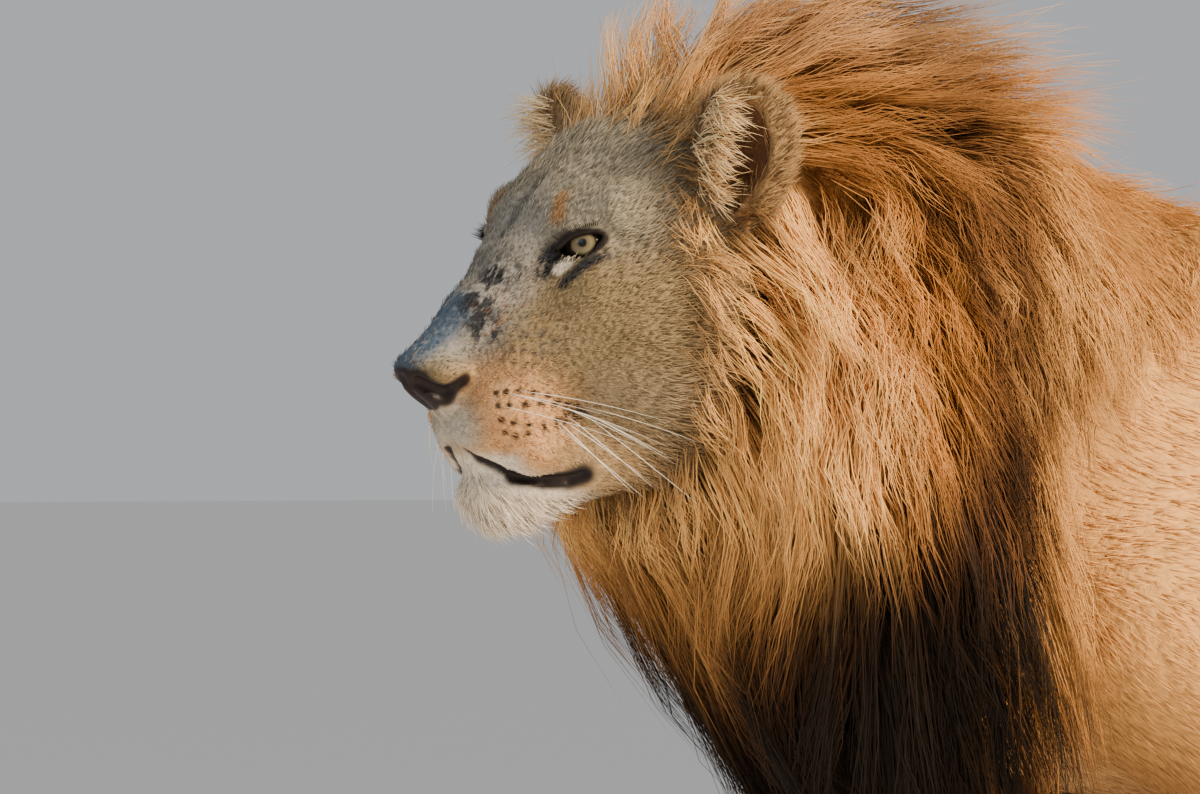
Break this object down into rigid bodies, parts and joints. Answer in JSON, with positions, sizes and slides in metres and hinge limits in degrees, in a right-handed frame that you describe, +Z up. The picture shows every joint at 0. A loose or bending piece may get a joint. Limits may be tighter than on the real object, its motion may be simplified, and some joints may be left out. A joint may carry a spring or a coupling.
{
  "type": "lion",
  "caption": "Still life-size model of an adult male lion standing on all fours, with a full mane round the head, neck and chest, for display.",
  "frame": {"origin": "on the floor, at the middle of the box round the whole animal", "axes": "the lion looks along -Y, its left side is at +X, +Z is up"},
  "size_m": [0.5621, 2.1832, 1.4092],
  "materials": {
    "face_fur": "very short dense fur, grizzled grey and tan with cream cheeks and a white chin",
    "coat": "short flat tawny fur, paler below and on the insides of the legs",
    "mane": "long coarse hair in wavy locks, orange gold beside the face and brown behind",
    "dark_mane": "long coarse hair, dark brown to near black",
    "nose_leather": "bare moist skin, dark, with a fine pebbled grain",
    "eye": "clear wet dome over a pale amber iris with a small round pupil"
  },
  "bodies": {
    "root": {"head": "face_fur", "jaw": "face_fur", "ear_left": "face_fur", "ear_right": "face_fur", "nose": "nose_leather", "eye_left": "eye", "eye_right": "eye", "mane_crest": "mane", "mane_left": "mane", "mane_right": "mane", "mane_chest": "dark_mane", "chest": "coat", "loin": "coat", "rump": "coat", "fore_left_leg": "coat", "fore_right_leg": "coat", "hind_left_leg": "coat", "hind_right_leg": "coat", "fore_left_paw": "coat", "fore_right_paw": "coat", "hind_left_paw": "coat", "hind_right_paw": "coat", "tail": "coat", "tail_tuft": "dark_mane"}
  },
  "joints": []
}
